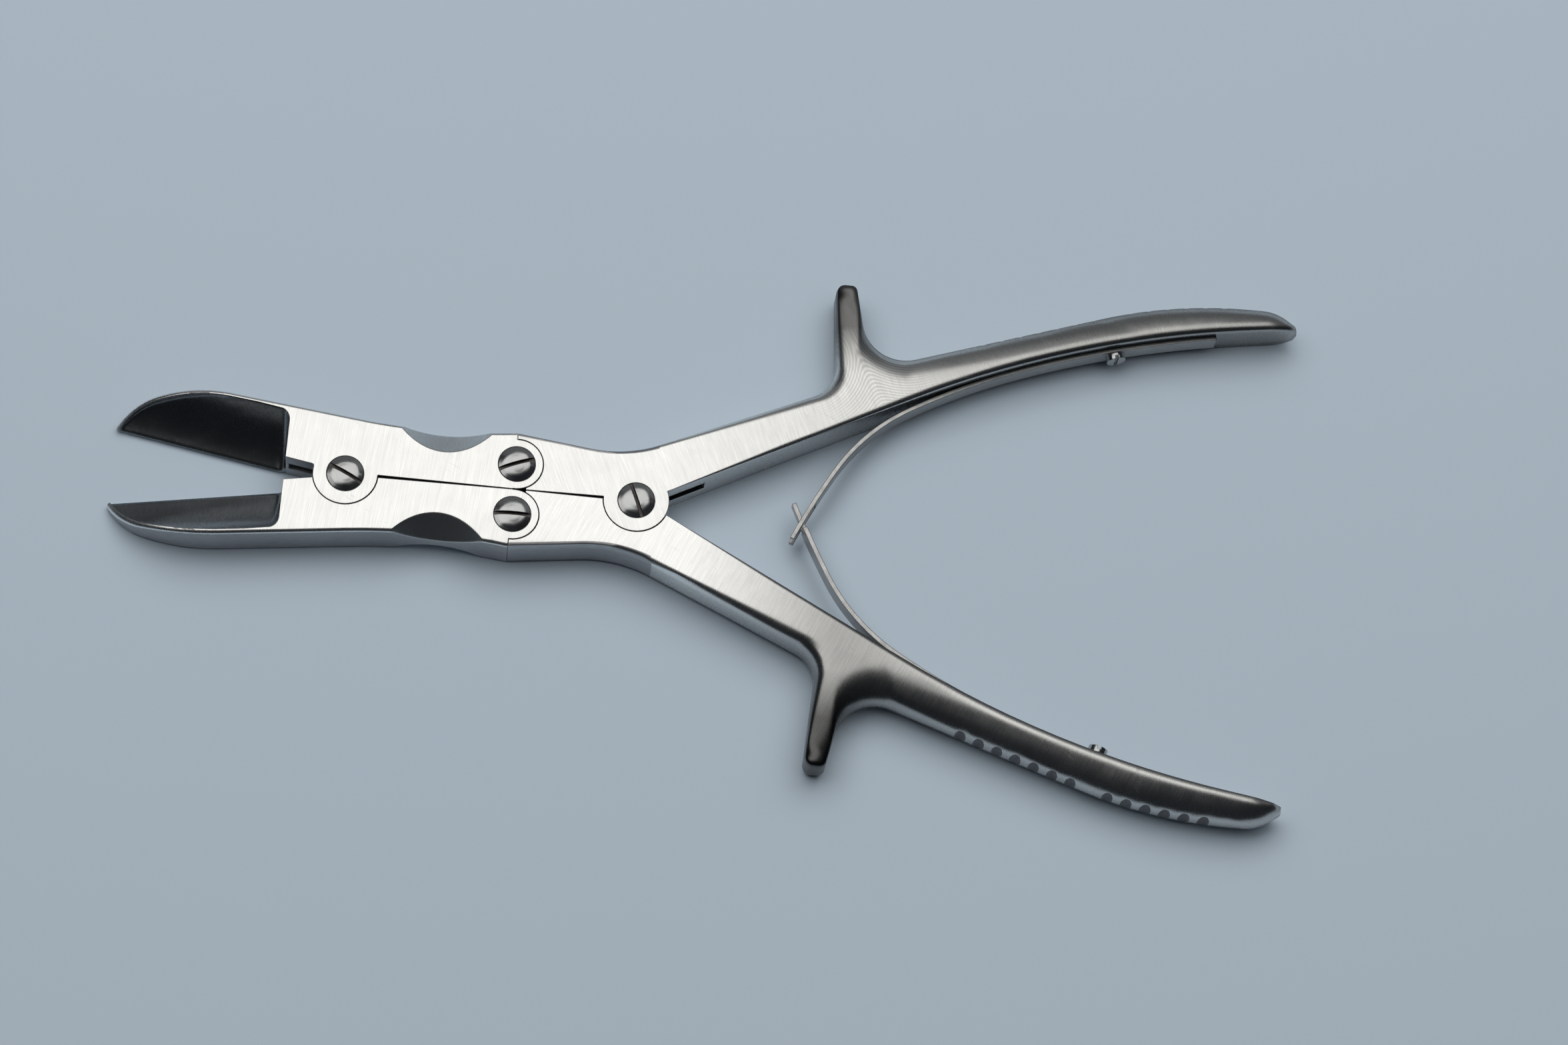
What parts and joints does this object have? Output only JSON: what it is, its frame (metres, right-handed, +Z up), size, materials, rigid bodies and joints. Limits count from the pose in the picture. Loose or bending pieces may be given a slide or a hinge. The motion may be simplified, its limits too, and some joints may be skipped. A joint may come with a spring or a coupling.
{
  "type": "bone cutting forceps",
  "caption": "Straight double-action bone cutting forceps with hollow-ground blades, finger horns and leaf springs; the jaws close as the handles are squeezed.",
  "frame": {"origin": "on the axis of the rear pivot, in the plane on which the forceps lies", "axes": "+X from the blades to the handles, +Y to the side of the upper handle, +Z up out of the resting plane along the pivot axes"},
  "size_m": [0.264, 0.1236, 0.0113],
  "materials": {
    "brushed_steel": "ground and brushed stainless steel with polished hollows",
    "polished_steel": "polished stainless steel screws",
    "spring_steel": "satin spring steel strip"
  },
  "bodies": {
    "handle_lower": {"handle_lower": "brushed_steel", "spring_leaf_lower": "spring_steel", "spring_screw_lower": "polished_steel"},
    "handle_upper": {"handle_upper": "brushed_steel", "rear_pivot_screw": "polished_steel", "spring_leaf_upper": "spring_steel", "spring_screw_upper": "polished_steel"},
    "jaw_lower": {"jaw_lower": "brushed_steel", "lower_link_screw": "polished_steel"},
    "jaw_upper": {"jaw_upper": "brushed_steel", "front_pivot_screw": "polished_steel", "upper_link_screw": "polished_steel"}
  },
  "joints": [
    {"name": "rear_pivot", "type": "hinge", "parent": "handle_lower", "child": "handle_upper", "pos_m": [0, 0, 0.00525], "axis": [0, 0, -1], "range_deg": [0, 27.26], "stiffness_Nm_per_rad": 1, "springref_deg": -5.73, "deforming": ["spring_leaf_upper", "spring_leaf_lower"]},
    {"name": "lower_link", "type": "hinge", "parent": "handle_lower", "child": "jaw_lower", "pos_m": [-0.02711, -0.00596, 0.00525], "axis": [0, 0, -1], "range_deg": [0, 23.29]},
    {"name": "front_pivot", "type": "hinge", "parent": "jaw_lower", "child": "jaw_upper", "pos_m": [-0.0647, 0, 0.00525], "axis": [0, 0, 1], "range_deg": [0, 19.32]}
  ],
  "couplings": [
    {"joint": "lower_link", "follows": "rear_pivot", "ratio": 0.8544},
    {"joint": "front_pivot", "follows": "rear_pivot", "ratio": 0.7087}
  ]
}
